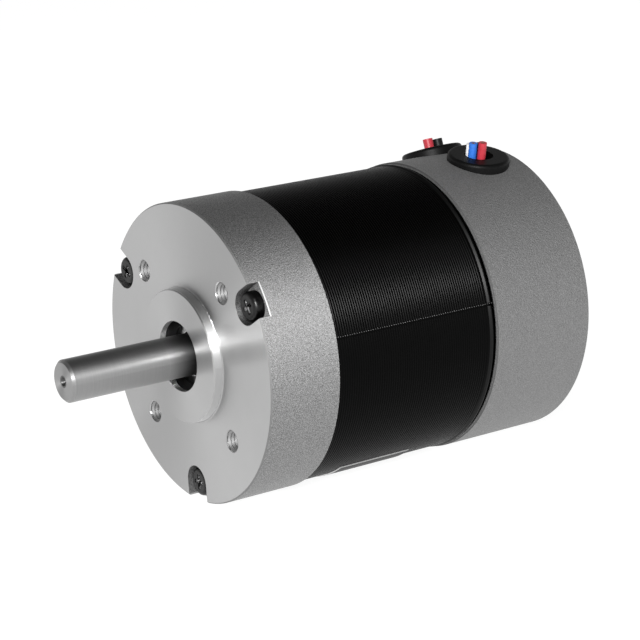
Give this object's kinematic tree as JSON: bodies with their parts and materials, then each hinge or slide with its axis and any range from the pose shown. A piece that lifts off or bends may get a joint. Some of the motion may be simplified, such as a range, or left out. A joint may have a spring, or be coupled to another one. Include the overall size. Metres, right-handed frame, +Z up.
{
  "type": "brushless dc motor",
  "caption": "Round brushless DC motor with a plain output shaft, piloted front face, bare laminated stack and rubber lead grommets.",
  "frame": {"origin": "centre of the front mounting face, on the shaft axis", "axes": "-Y along the output shaft and out of the front face, +Z up through the lead grommets, +X to the right seen from behind the motor"},
  "size_m": [0.057, 0.0998, 0.0604],
  "materials": {
    "machined_aluminium": "turned and fine-faced aluminium, satin",
    "blasted_aluminium": "bead-blasted cast aluminium, grey",
    "black_stack": "gloss black varnish over laminated steel",
    "nylon": "natural glass-filled nylon",
    "enamelled_copper": "enamelled copper wire",
    "blackened_screws": "black oxide steel",
    "bright_screws": "zinc plated steel",
    "bearing_steel": "ground and polished bearing steel",
    "pressed_steel": "pressed steel sheet",
    "seal_rubber": "black rubber bearing seal",
    "spring_steel": "spring steel strip",
    "ground_steel": "centreless ground steel",
    "sheet_steel": "laminated electrical steel",
    "magnet_alloy": "coated sintered magnet",
    "board_laminate": "green circuit board laminate",
    "sensor_resin": "black moulding resin",
    "grommet_rubber": "black moulded rubber",
    "lead_white": "white lead insulation",
    "lead_yellow": "yellow lead insulation",
    "lead_black": "black lead insulation",
    "lead_blue": "blue lead insulation",
    "lead_red": "red lead insulation"
  },
  "bodies": {
    "housing": {"board_screws": "bright_screws", "coil_1": "enamelled_copper", "coil_10": "enamelled_copper", "coil_11": "enamelled_copper", "coil_12": "enamelled_copper", "coil_2": "enamelled_copper", "coil_3": "enamelled_copper", "coil_4": "enamelled_copper", "coil_5": "enamelled_copper", "coil_6": "enamelled_copper", "coil_7": "enamelled_copper", "coil_8": "enamelled_copper", "coil_9": "enamelled_copper", "front_bearing_front_shield": "seal_rubber", "front_bearing_outer_ring": "bearing_steel", "front_bearing_rear_shield": "seal_rubber", "front_cap": "machined_aluminium", "front_insulator": "nylon", "hall_board": "board_laminate", "hall_lead_black": "lead_black", "hall_lead_blue": "lead_blue", "hall_lead_red": "lead_red", "hall_lead_white": "lead_white", "hall_lead_yellow": "lead_yellow", "hall_sensor_1": "sensor_resin", "hall_sensor_2": "sensor_resin", "hall_sensor_3": "sensor_resin", "phase_lead_black": "lead_black", "phase_lead_red": "lead_red", "phase_lead_yellow": "lead_yellow", "power_grommet": "grommet_rubber", "preload_washer": "spring_steel", "rear_bearing_front_shield": "seal_rubber", "rear_bearing_outer_ring": "bearing_steel", "rear_bearing_rear_shield": "seal_rubber", "rear_cap": "blasted_aluminium", "rear_insulator": "nylon", "signal_grommet": "grommet_rubber", "stator_core": "black_stack", "through_bolts": "blackened_screws"},
    "rotor": {"shaft": "ground_steel", "rotor_core": "sheet_steel", "magnet_1": "magnet_alloy", "magnet_2": "magnet_alloy", "magnet_3": "magnet_alloy", "magnet_4": "magnet_alloy", "magnet_5": "magnet_alloy", "magnet_6": "magnet_alloy", "magnet_7": "magnet_alloy", "magnet_8": "magnet_alloy", "front_bearing_inner_ring": "bearing_steel", "rear_bearing_inner_ring": "bearing_steel"},
    "front_ball_set": {"front_bearing_balls": "bearing_steel", "front_bearing_cage": "pressed_steel"},
    "rear_ball_set": {"rear_bearing_balls": "bearing_steel", "rear_bearing_cage": "pressed_steel"}
  },
  "joints": [
    {"name": "rotor_spin", "type": "hinge", "parent": "housing", "child": "rotor", "pos_m": [0, 0, 0], "axis": [0, -1, 0], "continuous": true},
    {"name": "front_balls_spin", "type": "hinge", "parent": "housing", "child": "front_ball_set", "pos_m": [0, 0.0045, 0], "axis": [0, -1, 0], "continuous": true},
    {"name": "rear_balls_spin", "type": "hinge", "parent": "housing", "child": "rear_ball_set", "pos_m": [0, 0.0673, 0], "axis": [0, -1, 0], "continuous": true}
  ],
  "couplings": [
    {"joint": "front_balls_spin", "follows": "rotor_spin", "ratio": 0.3677},
    {"joint": "rear_balls_spin", "follows": "rotor_spin", "ratio": 0.3677}
  ]
}
